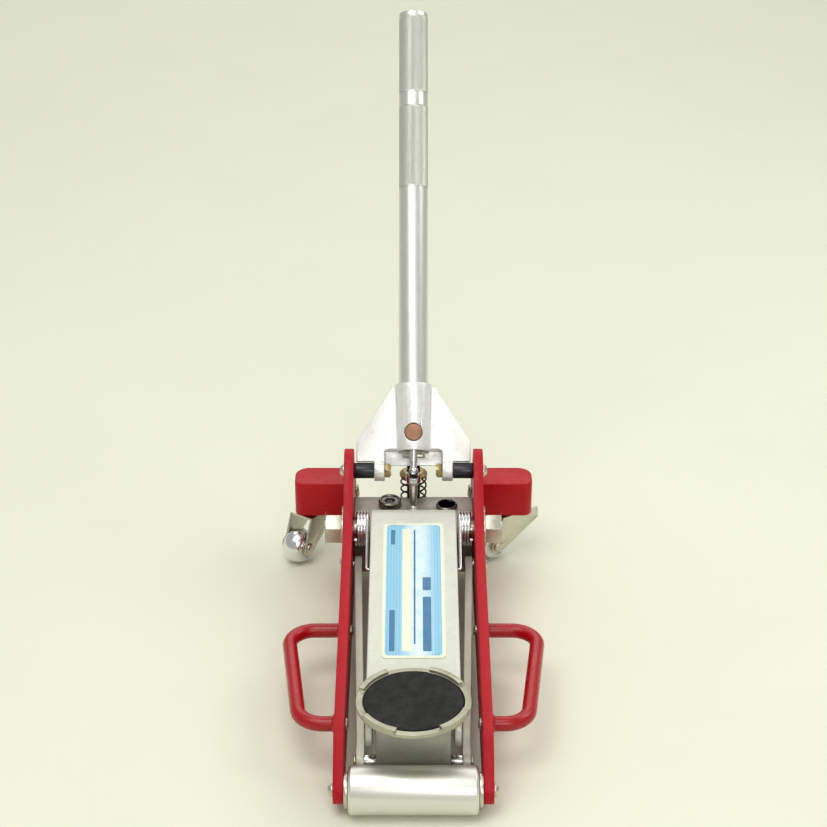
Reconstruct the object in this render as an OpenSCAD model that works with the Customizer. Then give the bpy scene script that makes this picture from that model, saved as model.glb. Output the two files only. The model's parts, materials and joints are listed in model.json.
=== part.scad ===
// Hydraulic floor jack, low aluminium pattern with a lifting arm,
// a parallel linkage that keeps the saddle level, and a pumped handle.
// Millimetres. +Z is up, the jack rests on Z = 0, and the front roller
// faces -Y. The origin is on the floor below the main lift shaft.

/* [Frame] */
// Clear width between the two side plates
frame_inner_width = 114; // [96:1:136]
// Thickness of each side plate
plate_thickness = 9; // [7.5:0.5:11]
// Distance from the main shaft forward to the front roller axle
front_axle_distance = 314; // [262:1:376]
// Height of the main lift shaft above the floor
shaft_height = 83; // [78:0.5:90]
// Radius of the front roller
roller_radius = 20.4; // [17:0.1:24.4]

/* [Lifting arm] */
// Thickness of the arm's side walls
arm_wall = 6; // [5:0.5:7.2]
// Radius of the saddle
saddle_radius = 47.5; // [40:0.5:52]
// Height of the saddle's lugs above the floor with the arm down
saddle_height = 88.5; // [86:0.5:92]

/* [Handle] */
// Length of the handle from the yoke pivot to its tip
handle_length = 457; // [380:1:548]
// Radius of the handle tube
handle_radius = 14.3; // [13:0.1:15.2]
// Angle of the handle behind the vertical
handle_lean = 36.5; // [30:0.5:43]

/* [Carry handles] */
// Radius of the carry-handle bar
carry_bar_radius = 6.5; // [5.4:0.1:7.8]

/* [Casters] */
// Radius of the caster wheels
caster_radius = 17.5; // [14.6:0.1:19]
// Distance from swivel axis to wheel axle
caster_trail = 26; // [23:0.5:29]

/* [Hidden] */
$fn = 72;

// Colours
RED = [0.76, 0.04, 0.09];
SILVER = [0.80, 0.80, 0.79];
STEEL = [0.62, 0.62, 0.62];
CHROME = [0.85, 0.86, 0.88];
DARK = [0.16, 0.15, 0.15];
CAST = [0.60, 0.58, 0.54];
COPPER = [0.62, 0.42, 0.32];

// Frame
half_in = frame_inner_width / 2;
half_out = half_in + plate_thickness;
axle = [-front_axle_distance, roller_radius];
shaft = [0, shaft_height];
shaft_r = 9;
yoke_pivot = [47, shaft_height + 37];
link_step = [-10, -33];

// Arm
arm_half = half_in - 17;
arm_in = arm_half - arm_wall;
roller_to_pin = 27.6;
arm_pin = [-front_axle_distance + roller_radius + roller_to_pin, shaft_height - 29];
arm_pin_r = 6;
arm_nose = arm_pin + [-7, -2];
nose_end_r = 14;
roof_t = 5.5;
roof_front = arm_pin[0] + 32;
hub_r = 18;
horn_radius = 28;
horn_angle = 30;
horn_pin_r = 5;
horn_pin_pos = [horn_radius * sin(horn_angle), shaft_height - horn_radius * cos(horn_angle)];
link_rear = shaft + link_step;
link_front = arm_pin + link_step;
link_half_height = 8;
link_bolt_r = 5;
link_pin_r = 4;
link_front_x = [arm_half + 1.3, arm_half + 7.9];
link_rear_x = [half_in - 8.4, half_in - 1.6];
bracket_half = arm_in - 3;

// Saddle
saddle_y = arm_pin[0] - 14.3;
bracket_top = arm_pin[1] + 17.5;
cup_base = bracket_top + 0.3;
rim_top = saddle_height - 3;
pad_seat = rim_top - 3.4;
stem_r = 6.5;
stem_end = cup_base - 26;
ring_z = cup_base - 23.1;

// Power unit
block_front = 26;
block_back = 88;
block_top = shaft_height + 1;
block_bottom = 19;
block_step = 68;
cylinder_z = 42;
cylinder_length = 118;
strap_in = arm_in - 8;
strap_gap = 2;
reservoir_wall = 4;
cylinder_wall = 7;
reservoir_r = strap_in - strap_gap;
cylinder_r = reservoir_r - reservoir_wall;
rod_r = cylinder_r - cylinder_wall;
cross_y = block_front + 10 - cylinder_length - 5;
filler_at = [-22.7, 43];
relief_at = [32, 40];
barrel_r = 14;
barrel_bottom = 44;
barrel_top = 70;
piston_r = 6.5;
coil_wire = 0.9;
valve_foot = [37, shaft_height - 1];
valve_tilt = atan2(yoke_pivot[0] - valve_foot[0], yoke_pivot[1] - valve_foot[1]);
valve_r = 3.6;
gland_low = -44;
gland_r = 6;
plug_thread_r = 8;
cam_lead = 1.81;
cam_at = [handle_radius + cam_lead, 16.9];
cam_r = 6;
cam_half = 9;
cam_gap = 0.8;
pump_y = yoke_pivot[0] + cam_at[0] * cos(handle_lean) + cam_at[1] * sin(handle_lean);
piston_top = yoke_pivot[1] - cam_at[0] * sin(handle_lean) + cam_at[1] * cos(handle_lean) - cam_r - cam_gap;
retainer_z = piston_top - 14.2;
block_step_y = pump_y - 9;

// Yoke and handle
yoke_bolt_r = 5;
wing_half = half_in - 2.5;
ear_out = half_in - 19.6;
ear_in = half_in - 29.4;
cut_top = 20;
cut_half = ear_in + 1.4;
socket_low = 18;
socket_high = 83;
plug_u = 35;
tube_foot = 23.5;
tube_bore_r = handle_radius - 2.5;

// Casters
fork_clearance = 7.5;
swivel_x = half_out + caster_trail + fork_clearance;
swivel_y = 101;
caster_block_low = 52;
caster_block_high = 88;
caster_block_rim = 17;
caster_block_out = swivel_x + caster_block_rim;
caster_block_y = [77.6, 111.4];
fork_top = 49;
fork_in = 10.9;
fork_out = 13.3;
fork_tail = 21;
caster_half = 9.5;
caster_axle_r = 4;
swivel_r = 5;
left_trail = 33.4;
right_trail = 57.3;

// ---------------------------------------------------------------- helpers

// Side profile (first axis Y, second axis Z) made solid from x0 to x1
module across(x0, x1) {
    translate([x0, 0, 0]) rotate([90, 0, 90]) linear_extrude(height = x1 - x0) children();
}

// Round bar along X
module bar_x(x0, x1, at, r) {
    translate([x0, at[0], at[1]]) rotate([0, 90, 0]) cylinder(h = x1 - x0, r = r);
}

// Where a line from p touches the circle at c, on the chosen side (1 or -1)
function touch(p, c, r, side) =
    let (v = p - c, a = atan2(v[1], v[0]) + side * acos(r / norm(v)))
    c + r * [cos(a), sin(a)];

// Two discs joined by the lines that touch both
module bar_2d(c1, r1, c2, r2) {
    v = c2 - c1;
    a = atan2(v[1], v[0]);
    b = acos((r1 - r2) / norm(v));
    translate(c1) circle(r1);
    translate(c2) circle(r2);
    polygon([
        for (e = [[c1, r1, 1], [c2, r2, 1], [c2, r2, -1], [c1, r1, -1]])
            e[0] + e[1] * [cos(a + e[2] * b), sin(a + e[2] * b)]
    ]);
}

module both_sides() {
    children();
    mirror([1, 0, 0]) children();
}

// Button-head screw along +X: head outward of x0, shank inward
module button_screw(x0, at, head_r, head_h, shank_r, length) {
    translate([x0, at[0], at[1]]) rotate([0, 90, 0]) difference() {
        union() {
            rotate_extrude() polygon([
                [0, 0], [head_r, 0], [head_r, head_h * 0.35],
                [head_r * 0.62, head_h], [0, head_h]
            ]);
            translate([0, 0, -length]) cylinder(h = length + 0.01, r = shank_r);
        }
        translate([0, 0, head_h * 0.4]) cylinder(h = head_h, r = head_r * 0.36, $fn = 6);
    }
}

// The same screw pointing inward: head inward of x0, shank outward
module inner_screw(x0, at, head_r, head_h, shank_r, length) {
    translate([2 * x0, 0, 0]) mirror([1, 0, 0]) button_screw(x0, at, head_r, head_h, shank_r, length);
}

module hex_nut_x(x0, x1, at, flats, bore) {
    translate([x0, at[0], at[1]]) rotate([0, 90, 0]) difference() {
        intersection() {
            cylinder(h = x1 - x0, r = flats / sqrt(3), $fn = 6);
            rotate_extrude() polygon([
                [0, 0], [flats * 0.545, 0], [flats / sqrt(3) + 0.2, 1.2],
                [flats / sqrt(3) + 0.2, x1 - x0 - 1.2], [flats * 0.5, x1 - x0], [0, x1 - x0]
            ]);
        }
        translate([0, 0, -1]) cylinder(h = x1 - x0 + 2, r = bore);
    }
}

module washer_x(x0, x1, at, r, bore) {
    difference() {
        bar_x(x0, x1, at, r);
        bar_x(x0 - 1, x1 + 1, at, bore);
    }
}

// Round wire swept along points; side is the coil's axis
module wire(path, r, side, sides = 8) {
    n = len(path);
    rings = [
        for (i = [0 : n - 1])
            let (
                a = path[max(i - 1, 0)], b = path[min(i + 1, n - 1)],
                t = (b - a) / norm(b - a),
                m = cross(t, side), u = m / norm(m)
            )
            for (k = [0 : sides - 1])
                path[i] + r * (cos(360 * k / sides) * cross(u, t) + sin(360 * k / sides) * u)
    ];
    walls = [
        for (i = [0 : n - 2]) for (k = [0 : sides - 1])
            let (k2 = (k + 1) % sides)
            each [
                [i * sides + k, (i + 1) * sides + k, (i + 1) * sides + k2],
                [i * sides + k, (i + 1) * sides + k2, i * sides + k2]
            ]
    ];
    polyhedron(
        points = rings,
        faces = concat(
            walls,
            [[for (k = [0 : sides - 1]) k]],
            [[for (k = [sides - 1 : -1 : 0]) (n - 1) * sides + k]]
        )
    );
}

// Places children in the yoke's own frame: Z along the handle, -Y to the front
module yoke_frame() {
    translate([0, yoke_pivot[0], yoke_pivot[1]]) rotate([-handle_lean, 0, 0]) children();
}

// Places children along the release shaft: Z from the valve up to the joint
module valve_frame() {
    translate([0, yoke_pivot[0], yoke_pivot[1]]) rotate([-valve_tilt, 0, 0]) children();
}

// ------------------------------------------------------------------ frame

nose_r = 11.5;
lug_r = 21;
belly = [50, 12];
tail = [86, shaft_height + 9];
neck = [-14, shaft_height + 12];
brow = axle + [22, 38.6];
block_bolts = [[40, 44], [52, 74], [62, 44]];
tie_bar = [96, 46];
bolt_r = 3;
bolt_hole = bolt_r + 0.05;
caster_screws = [[84, 79], [102, 64]];
carry_front = -front_axle_distance + 57.5;
carry_rear = carry_front + 141;
carry_z = 45;

module plate_profile() {
    difference() {
        union() {
            translate(axle) circle(nose_r);
            translate(yoke_pivot) circle(lug_r);
            polygon([
                touch(belly, axle, nose_r, -1), belly, [73, 39], [114, 40], [114, 86], tail,
                touch(tail, yoke_pivot, lug_r, 1), yoke_pivot, touch(neck, yoke_pivot, lug_r, -1),
                neck, brow, touch(brow, axle, nose_r, 1), axle
            ]);
        }
        translate(axle) circle(4.1);
        translate(shaft) circle(shaft_r + 0.1);
        translate(link_rear) circle(link_bolt_r + 0.1);
        translate(yoke_pivot) circle(yoke_bolt_r + 0.1);
        for (p = concat(block_bolts, [tie_bar])) translate(p) circle(bolt_hole + 0.1);
        for (p = caster_screws) translate(p) circle(bolt_hole + 0.1);
        for (y = [carry_front, carry_rear]) translate([y, carry_z]) circle(bolt_hole + 0.1);
    }
}

module side_plate_left() color(RED) across(-half_out, -half_in) plate_profile();
module side_plate_right() color(RED) across(half_in, half_out) plate_profile();

module front_axle() color(STEEL) difference() {
    bar_x(-half_in, half_in, axle, 8);
    both_sides() bar_x(half_in - 16, half_in + 1, axle, 4.05);
}

module front_axle_screws() color(CHROME)
    both_sides() button_screw(half_out, axle, 5.4, 4.2, 4, plate_thickness + 14);

module roller_washers() color(CHROME)
    both_sides() washer_x(half_in - 3.2, half_in, axle, 15, 8.1);

module front_roller() color(SILVER) {
    w = half_in - 3.5;
    translate([-w, axle[0], axle[1]]) rotate([0, 90, 0]) difference() {
        rotate_extrude() polygon([
            [8.05, 0], [roller_radius - 2, 0], [roller_radius, 2], [roller_radius, 2 * w - 2],
            [roller_radius - 2, 2 * w], [8.05, 2 * w]
        ]);
        for (e = [-0.01, 2 * w - 2.99]) translate([0, 0, e]) difference() {
            cylinder(h = 3, r = roller_radius - 4.5);
            translate([0, 0, -1]) cylinder(h = 5, r = 10.5);
        }
    }
}

module main_shaft() color(STEEL) {
    bar_x(-half_out - 18, half_out + 18, shaft, shaft_r);
}

module main_shaft_washers() color(CHROME)
    both_sides() washer_x(half_out, half_out + 1.6, shaft, 15.5, shaft_r + 0.1);

module main_shaft_nuts() color(CHROME)
    both_sides() hex_nut_x(half_out + 1.6, half_out + 16.8, shaft, 26, shaft_r + 0.03);

module link_pivot_bolts() color(CHROME)
    both_sides() button_screw(half_out, link_rear, 6.2, 4, link_bolt_r, half_out - link_rear_x[0]);

module power_unit_block() color(CAST) difference() {
    across(-half_in, half_in) polygon([
        [block_front, block_bottom], [62, block_bottom], [73, 34], [block_back, 34],
        [block_back, block_step - 2], [block_back - 3, block_step], [block_step_y, block_step],
        [block_step_y, block_top - 1.5], [block_step_y - 1.5, block_top],
        [block_front + 3, block_top], [block_front, block_top - 3]
    ]);
    translate([0, pump_y, barrel_bottom]) cylinder(h = 60, r = barrel_r + 0.02);
    for (at = [filler_at, relief_at])
        translate([at[0], at[1], block_top - 12]) cylinder(h = 20, r = plug_thread_r + 0.02);
    valve_frame() translate([0, 0, gland_low - 6]) cylinder(h = 40, r = gland_r + 0.02);
    for (p = block_bolts) both_sides() bar_x(half_in - 14, half_in + 1, p, bolt_hole);
    translate([0, block_front - 1, cylinder_z]) rotate([-90, 0, 0]) cylinder(h = 11, r = cylinder_r + 0.02);
}

// Button-head screws through the side plates into the block and the tie bar
module frame_bolts() color(CHROME)
    both_sides() for (p = concat(block_bolts, [tie_bar]))
        button_screw(half_out, p, 5, 3.4, bolt_r, plate_thickness + 12);

module rear_tie_bar() color(STEEL) difference() {
    bar_x(-half_in, half_in, tie_bar, 6.5);
    both_sides() bar_x(half_in - 14, half_in + 1, tie_bar, bolt_hole);
}

module ram_cylinder() color(DARK) translate([0, block_front + 10, cylinder_z]) rotate([90, 0, 0])
    rotate_extrude() polygon([
        [0, 0], [cylinder_r, 0], [cylinder_r, cylinder_length - 2], [cylinder_r - 1, cylinder_length],
        [rod_r + 0.05, cylinder_length], [rod_r + 0.05, 14], [0, 14]
    ]);

module oil_reservoir() color(CAST) translate([0, block_front, cylinder_z]) rotate([90, 0, 0])
    rotate_extrude() polygon([
        [cylinder_r + 0.03, 0], [reservoir_r - 1.5, 0], [reservoir_r, 2], [reservoir_r, 92],
        [reservoir_r - 2, 94], [cylinder_r + 0.03, 94]
    ]);

module socket_plug_body(r, h, wall) {
    difference() {
        union() {
            rotate_extrude() polygon([[0, 0], [r, 0], [r, h - 1.2], [r - 1.2, h], [0, h]]);
            translate([0, 0, -10]) cylinder(h = 10.01, r = plug_thread_r);
        }
        translate([0, 0, h - 1.4]) rotate_extrude() polygon([[0, 0], [r - wall, 0], [r - wall + 1, 2], [0, 2]]);
        translate([0, 0, h - 5]) cylinder(h = 10, r = 5.4, $fn = 6);
    }
}

module filler_plug() color(DARK) translate([filler_at[0], filler_at[1], block_top]) socket_plug_body(11, 7, 3.2);
module relief_plug() color(STEEL) translate([relief_at[0], relief_at[1], block_top]) socket_plug_body(10.2, 3.6, 2.6);

module pump_barrel() color(DARK) translate([0, pump_y, 0]) difference() {
    union() {
        translate([0, 0, barrel_bottom]) cylinder(h = barrel_top - barrel_bottom, r = barrel_r);
        translate([0, 0, barrel_top - 1]) cylinder(h = 6, r = 8.8);
    }
    translate([0, 0, barrel_bottom + 3]) cylinder(h = 40, r = piston_r + 0.05);
}

// Open coil that lifts the pump piston
module pump_spring() color(STEEL) {
    coil_r = 12.2;
    low = barrel_top + coil_wire + 0.05;
    rise = retainer_z - coil_wire - 0.05 - low;
    turns = 4.75;
    steps = 114;
    wire([
        for (i = [0 : steps])
            let (f = i / steps, a = 360 * turns * f,
                 g = min(max((f - 0.08) / 0.84, 0), 1))
            [coil_r * cos(a), pump_y + coil_r * sin(a), low + rise * g]
    ], coil_wire, [0, 0, 1]);
}

module pump_piston() color(DARK) translate([0, pump_y, 0]) {
    translate([0, 0, 60]) cylinder(h = piston_top - 61, r = piston_r);
    translate([0, 0, piston_top - 1.01]) cylinder(h = 1.01, r1 = piston_r, r2 = piston_r - 0.9);
}

module spring_retainer() color(COPPER) translate([0, pump_y, retainer_z]) rotate_extrude() polygon([
    [piston_r + 0.02, 0], [13.4, 0], [13.4, 1.8], [9.5, 4.5], [piston_r + 0.02, 4.5]
]);

module release_valve_gland() color(SILVER) valve_frame() difference() {
    translate([0, 0, gland_low]) union() {
        cylinder(h = 6.5, r = gland_r);
        cylinder(h = 9, r = gland_r - 0.8);
    }
    translate([0, 0, gland_low + 3]) cylinder(h = 20, r = valve_r + 0.05);
}

// Valve spindle with the cup of its universal joint at the yoke pivot
module release_shaft() color(CHROME) valve_frame() difference() {
    union() {
        translate([0, 0, gland_low + 4]) cylinder(h = 26.5, r = valve_r);
        translate([0, 0, -14.5]) rotate_extrude() polygon([
            [0, 0], [valve_r, 0], [7.2, 3.5], [7.2, 12], [6.6, 12.6], [0, 12.6]
        ]);
    }
    sphere(r = 4.6);
    translate([-4.2, -10, -6.5]) cube([8.4, 20, 8]);
}

// Block beside the right plate that holds a caster's swivel pin
module caster_block() color(RED) difference() {
    front_r = 8;
    rear_r = 14;
    front = caster_block_y[0];
    rear = caster_block_y[1];
    translate([0, 0, caster_block_low]) linear_extrude(height = caster_block_high - caster_block_low) union() {
        polygon([
            [half_out, front], [caster_block_out - front_r, front], [caster_block_out, front + front_r],
            [caster_block_out, rear - rear_r], [caster_block_out - rear_r, rear], [half_out, rear]
        ]);
        translate([caster_block_out - front_r, front + front_r]) circle(front_r);
        translate([caster_block_out - rear_r, rear - rear_r]) circle(rear_r);
    }
    translate([swivel_x, swivel_y, caster_block_low - 1]) cylinder(h = 22, r = swivel_r + 0.05);
    for (p = caster_screws) bar_x(half_out - 1, half_out + 16, p, bolt_hole);
}

module caster_block_left() mirror([1, 0, 0]) caster_block();
module caster_block_right() caster_block();

module caster_block_screws() color(CHROME)
    both_sides() for (p = caster_screws)
        inner_screw(half_in, p, 5, 3.4, bolt_r, plate_thickness + 14);

// Round bar bent to a loop beside the frame, ends against the plate
module carry_handle() {
    bend = 22;
    p1 = [half_out + 30, carry_front];
    p2 = [half_out + 47, carry_rear];
    lean = atan2(p2[0] - p1[0], p2[1] - p1[1]);
    turns = [90 - lean, 90 + lean];
    e1 = [p1[0] - bend * tan(turns[0] / 2), carry_front];
    e2 = [p2[0] - bend * tan(turns[1] / 2), carry_rear];
    steps = 12;
    wire(concat(
        [[half_out, carry_front, carry_z]],
        [for (i = [0 : steps]) let (a = turns[0] * i / steps)
            [e1[0] + bend * sin(a), e1[1] + bend * (1 - cos(a)), carry_z]],
        [for (i = [0 : steps]) let (a = turns[1] * i / steps - lean)
            [e2[0] + bend * cos(a), e2[1] - bend * (1 - sin(a)), carry_z]],
        [[half_out, carry_rear, carry_z]]
    ), carry_bar_radius, [0, 0, 1], 24);
}

module bored_carry_handle() difference() {
    carry_handle();
    for (y = [carry_front, carry_rear]) bar_x(half_out - 1, half_out + 12, [y, carry_z], bolt_hole);
}

module carry_handle_left() color(RED) mirror([1, 0, 0]) bored_carry_handle();
module carry_handle_right() color(RED) bored_carry_handle();

module carry_handle_screws() color(CHROME)
    both_sides() for (y = [carry_front, carry_rear])
        inner_screw(half_in, [y, carry_z], 5, 3, bolt_r, plate_thickness + 10);

module yoke_pivot_bolts() color(CHROME)
    both_sides() button_screw(half_out, yoke_pivot, 6.2, 4.2, yoke_bolt_r, half_out - ear_in + 6.3);

module yoke_bushings() color(DARK)
    both_sides() washer_x(ear_out + 0.3, half_in, yoke_pivot, 7.5, yoke_bolt_r + 0.1);

module yoke_pivot_nuts() color(COPPER)
    both_sides() hex_nut_x(ear_in - 5.3, ear_in - 0.3, yoke_pivot, 13, yoke_bolt_r + 0.03);

// -------------------------------------------------------------- lift arm

// The arm's outline in side view
module arm_profile() {
    bar_2d(shaft, hub_r, arm_nose, nose_end_r);
    bar_2d(shaft, hub_r - 1, horn_pin_pos, 9);
}

// Roof of the channel, bent down round the hub at the rear
module roof_profile() {
    intersection() {
        difference() {
            bar_2d(shaft, hub_r, arm_nose, nose_end_r);
            bar_2d(shaft, hub_r - roof_t, arm_nose, nose_end_r - roof_t);
        }
        polygon([
            [roof_front, arm_pin[1] + 8], [-40, shaft_height - 2], [0, shaft_height + 4],
            [30, shaft_height + 4], [30, shaft_height + 40], [roof_front, shaft_height + 40]
        ]);
    }
}

module lift_arm() color(SILVER) difference() {
    union() {
        both_sides() across(arm_in, arm_half) arm_profile();
        across(-arm_half, arm_half) roof_profile();
        bar_x(-arm_half - 1.2, arm_half + 1.2, shaft, 14.3);
    }
    bar_x(-half_in, half_in, shaft, shaft_r + 0.05);
    bar_x(-half_in, half_in, arm_pin, arm_pin_r + 0.02);
    bar_x(-half_in, half_in, horn_pin_pos, horn_pin_r + 0.02);
}

module nameplate() {
    v = arm_nose - shaft;
    lean_a = atan2(v[1], v[0]) - acos((hub_r - nose_end_r) / norm(v));
    slope = lean_a - 90;
    plate_margin = 12;
    plate_w = 2 * (arm_half - plate_margin);
    plate_l = min(190, front_axle_distance * 0.6);
    r = 5;
    translate([0, shaft[0] + hub_r * cos(lean_a), shaft[1] + hub_r * sin(lean_a) + 0.02]) rotate([slope, 0, 0])
        color([0.62, 0.80, 0.90]) translate([0, -15, 0]) linear_extrude(height = 0.8) union() {
            translate([-plate_w / 2 + r, -plate_l]) square([plate_w - 2 * r, plate_l]);
            translate([-plate_w / 2, -plate_l + r]) square([plate_w, plate_l - 2 * r]);
            for (x = [-1, 1]) for (y = [-r, -plate_l + r]) translate([x * (plate_w / 2 - r), y]) circle(r);
        }
}

module horn_pins() color(STEEL)
    both_sides() bar_x(arm_in - 10, arm_half + 0.8, horn_pin_pos, horn_pin_r);

module arm_front_pin() color(CHROME)
    bar_x(-arm_half - 0.9, arm_half + 0.9, arm_pin, arm_pin_r);

// Torsion coils on the shaft, each with a leg forward along the arm
module return_spring() {
    coil_r = 15.3;
    wire_r = 1.6;
    turns = 3.75;
    x0 = arm_half + 3.4;
    steps = 90;
    pitch = (half_in - x0 - 2.6) / turns;
    leg = [-62, -1];
    wire(concat(
        [[x0, shaft[0] + leg[0], shaft[1] + leg[1] - 6]],
        [for (i = [0 : steps])
            let (a = 100 - 360 * turns * i / steps)
            [x0 + pitch * turns * i / steps, shaft[0] + coil_r * cos(a), shaft[1] + coil_r * sin(a)]]
    ), wire_r, [1, 0, 0]);
}

module return_springs() color(CHROME) both_sides() return_spring();

// ---------------------------------------------------- saddle and linkage

module saddle_bracket() color(CAST) {
    front = arm_pin[0] - 26;
    back = arm_pin[0] + 12;
    wall = 4;
    difference() {
        union() {
            // cheeks
            both_sides() across(bracket_half - 9, bracket_half) union() {
                translate(arm_pin) circle(12);
                translate(link_front) circle(9);
                polygon([
                    [front, bracket_top], [back, bracket_top], [back, arm_pin[1]], arm_pin + [4, -14],
                    link_front + [8.6, -2], link_front + [-6, -6.7], [front, link_front[1] + 8]
                ]);
            }
            // top plate
            across(-bracket_half, bracket_half) polygon([
                [front, bracket_top - 9], [front, bracket_top], [back, bracket_top],
                [back, bracket_top - 5], [arm_pin[0] - 6, bracket_top - 9]
            ]);
            // front wall
            across(-bracket_half, bracket_half) polygon([
                [front, bracket_top], [front + wall, bracket_top],
                [front + wall, link_front[1] + 5], [front, link_front[1] + 8]
            ]);
            translate([0, saddle_y, bracket_top - 20]) cylinder(h = 20, r = stem_r + 3.5);
        }
        translate([0, saddle_y, bracket_top - 40]) cylinder(h = 60, r = stem_r + 0.05);
        bar_x(-half_in, half_in, arm_pin, arm_pin_r + 0.05);
        bar_x(-half_in, half_in, link_front, link_pin_r + 0.03);
    }
}

module bracket_link_pin() color(CHROME) union() {
    bar_x(-link_front_x[1] - 1.6, link_front_x[1] + 1.6, link_front, link_pin_r);
    both_sides() bar_x(link_front_x[1] + 0.2, link_front_x[1] + 2, link_front, 5.5);
}

module link_pin_spacers() color(CHROME)
    both_sides() washer_x(bracket_half, link_front_x[0] - 0.2, link_front, 5.6, link_pin_r + 0.03);

module saddle_cup() color(STEEL) translate([0, saddle_y, 0]) difference() {
    union() {
        rotate_extrude() polygon([
            [0, stem_end], [stem_r - 1, stem_end], [stem_r, stem_end + 1], [stem_r, cup_base], [20, cup_base],
            [saddle_radius - 4, rim_top - 4.6], [saddle_radius, pad_seat], [saddle_radius, rim_top],
            [saddle_radius - 5.6, rim_top], [saddle_radius - 5.6, pad_seat], [0, pad_seat]
        ]);
        // four raised lugs
        for (k = [0 : 3]) rotate([0, 0, 29 + 90 * k])
            rotate_extrude(angle = 43) translate([saddle_radius - 5, rim_top - 1]) square([5, 4]);
    }
    translate([0, 0, ring_z - 0.1]) difference() {
        cylinder(h = 2.2, r = 12);
        translate([0, 0, -1]) cylinder(h = 5, r = stem_r - 1.5);
    }
}

module saddle_pad() color(DARK) translate([0, saddle_y, pad_seat])
    rotate_extrude() polygon([
        [0, 0], [saddle_radius - 5.7, 0], [saddle_radius - 5.7, 3.2], [saddle_radius - 7, 4.2],
        [saddle_radius - 10, 4.2], [saddle_radius - 10.6, 3.7], [saddle_radius - 12, 3.7],
        [saddle_radius - 12.6, 4.2], [0, 4.2]
    ]);

module saddle_retaining_ring() color(STEEL) translate([0, saddle_y, ring_z]) difference() {
    cylinder(h = 2, r = stem_r + 1.1);
    translate([0, 0, -1]) cylinder(h = 5, r = stem_r - 1.48);
}

// Bar with both eyes, slanted outward towards the rear
module radius_link() color(STEEL) difference() {
    intersection() {
        across(arm_half, half_in) bar_2d(link_rear, link_half_height, link_front, link_half_height);
        linear_extrude(height = 200) polygon([
            [link_front_x[0], link_front[0] - 20], [link_front_x[1], link_front[0] - 20],
            [link_front_x[1], link_front[0] + 14], [link_rear_x[1], link_rear[0] - 14],
            [link_rear_x[1], link_rear[0] + 20], [link_rear_x[0], link_rear[0] + 20],
            [link_rear_x[0], link_rear[0] - 14], [link_front_x[0], link_front[0] + 14]
        ]);
    }
    bar_x(0, half_in + 5, link_rear, link_bolt_r + 0.05);
    bar_x(0, half_in + 5, link_front, link_pin_r + 0.05);
}

module radius_link_left() mirror([1, 0, 0]) radius_link();
module radius_link_right() radius_link();

// ------------------------------------------------------------------- ram

module ram_rod() color(CHROME) translate([0, cross_y + 0.01, cylinder_z]) rotate([-90, 0, 0])
    cylinder(h = 88, r = rod_r);

module ram_crosshead() color(CAST) difference() {
    across(-arm_in + 2, arm_in - 2) polygon([
        [cross_y - 16, cylinder_z - 11], [cross_y - 13, cylinder_z - 14], [cross_y, cylinder_z - 14],
        [cross_y, cylinder_z + 12], [cross_y - 13, cylinder_z + 12], [cross_y - 16, cylinder_z + 9]
    ]);
    both_sides() translate([strap_in - 0.02, cross_y - 30, cylinder_z - 8.02]) cube([7, 40, 16.04]);
}

// Side straps from the crosshead back to the arm's horns, with slotted eyes
module ram_straps() color(STEEL) both_sides() across(strap_in, strap_in + 6) {
    eye_r = 10.5;
    slot_r = horn_pin_r + 0.4;
    eye = [horn_pin_pos[0], 57.5];
    difference() {
        union() {
            translate([cross_y - 16, cylinder_z - 8]) square([eye[0] - eye_r - cross_y + 17, 16]);
            translate([eye[0] - eye_r, cylinder_z - 8]) square([2 * eye_r, eye[1] - cylinder_z + 8]);
            translate(eye) circle(eye_r);
        }
        for (z = [54.7, 59.05]) translate([eye[0], z]) circle(slot_r);
        translate([eye[0] - slot_r, 54.7]) square([2 * slot_r, 4.35]);
    }
}

// ---------------------------------------------------------------- handle

module wing_profile() difference() {
    top_half = handle_radius + 6.2;
    corner = 6;
    polygon([
        [-wing_half, 8], [-wing_half, 27], [-top_half, 80], [top_half, 80], [wing_half, 27], [wing_half, 8]
    ]);
    translate([-cut_half + corner, -1]) square([2 * (cut_half - corner), cut_top + 1]);
    translate([-cut_half, -1]) square([2 * cut_half, cut_top - corner + 1]);
    for (s = [-1, 1]) translate([s * (cut_half - corner), cut_top - corner]) circle(corner);
}

module handle_yoke() color(SILVER) yoke_frame() difference() {
    bridge_out = cam_at[0] - 0.1;
    bridge_in = bridge_out - 6;
    union() {
        translate([0, 1.5, 0]) rotate([90, 0, 0]) linear_extrude(height = 7) wing_profile();
        translate([0, 0, socket_low])
            cylinder(h = socket_high - socket_low, r1 = handle_radius + 1.9, r2 = handle_radius + 3.8);
        // ears, and the bridge behind them that hangs from a short shelf
        both_sides() across(ear_in, ear_out) union() {
            circle(10);
            polygon([[-5.5, 3], [-5.5, 22], [1, 24], [bridge_out, 20], [bridge_out, 5], [8, -6]]);
        }
        across(-ear_in - 0.4, ear_in + 0.4) polygon([
            [1, cut_top], [1, cut_top + 4], [bridge_out - 2, cut_top + 4], [bridge_out, cut_top + 2],
            [bridge_out, 14], [bridge_in + 0.5, 6], [bridge_in, 6], [bridge_in, cut_top]
        ]);
    }
    translate([0, 0, socket_low - 4]) cylinder(h = 80, r = handle_radius + 0.05);
    translate([0, -10, plug_u]) rotate([90, 0, 0]) cylinder(h = 20, r = 8.7);
    bar_x(-half_in, half_in, [0, 0], yoke_bolt_r + 0.05);
    across(-cam_half - 0.3, cam_half + 0.3) translate(cam_at) circle(cam_r + 0.02);
}

// Round plug that fills the hole in the front of the socket, with a stepped rim
module socket_plug() color(COPPER) yoke_frame() difference() {
    translate([0, 0, plug_u]) rotate([90, 0, 0]) union() {
        cylinder(h = handle_radius + 0.9, r = 8.65);
        cylinder(h = handle_radius + 2, r = 7.9);
    }
    cylinder(h = 70, r = handle_radius + 0.35);
}

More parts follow.
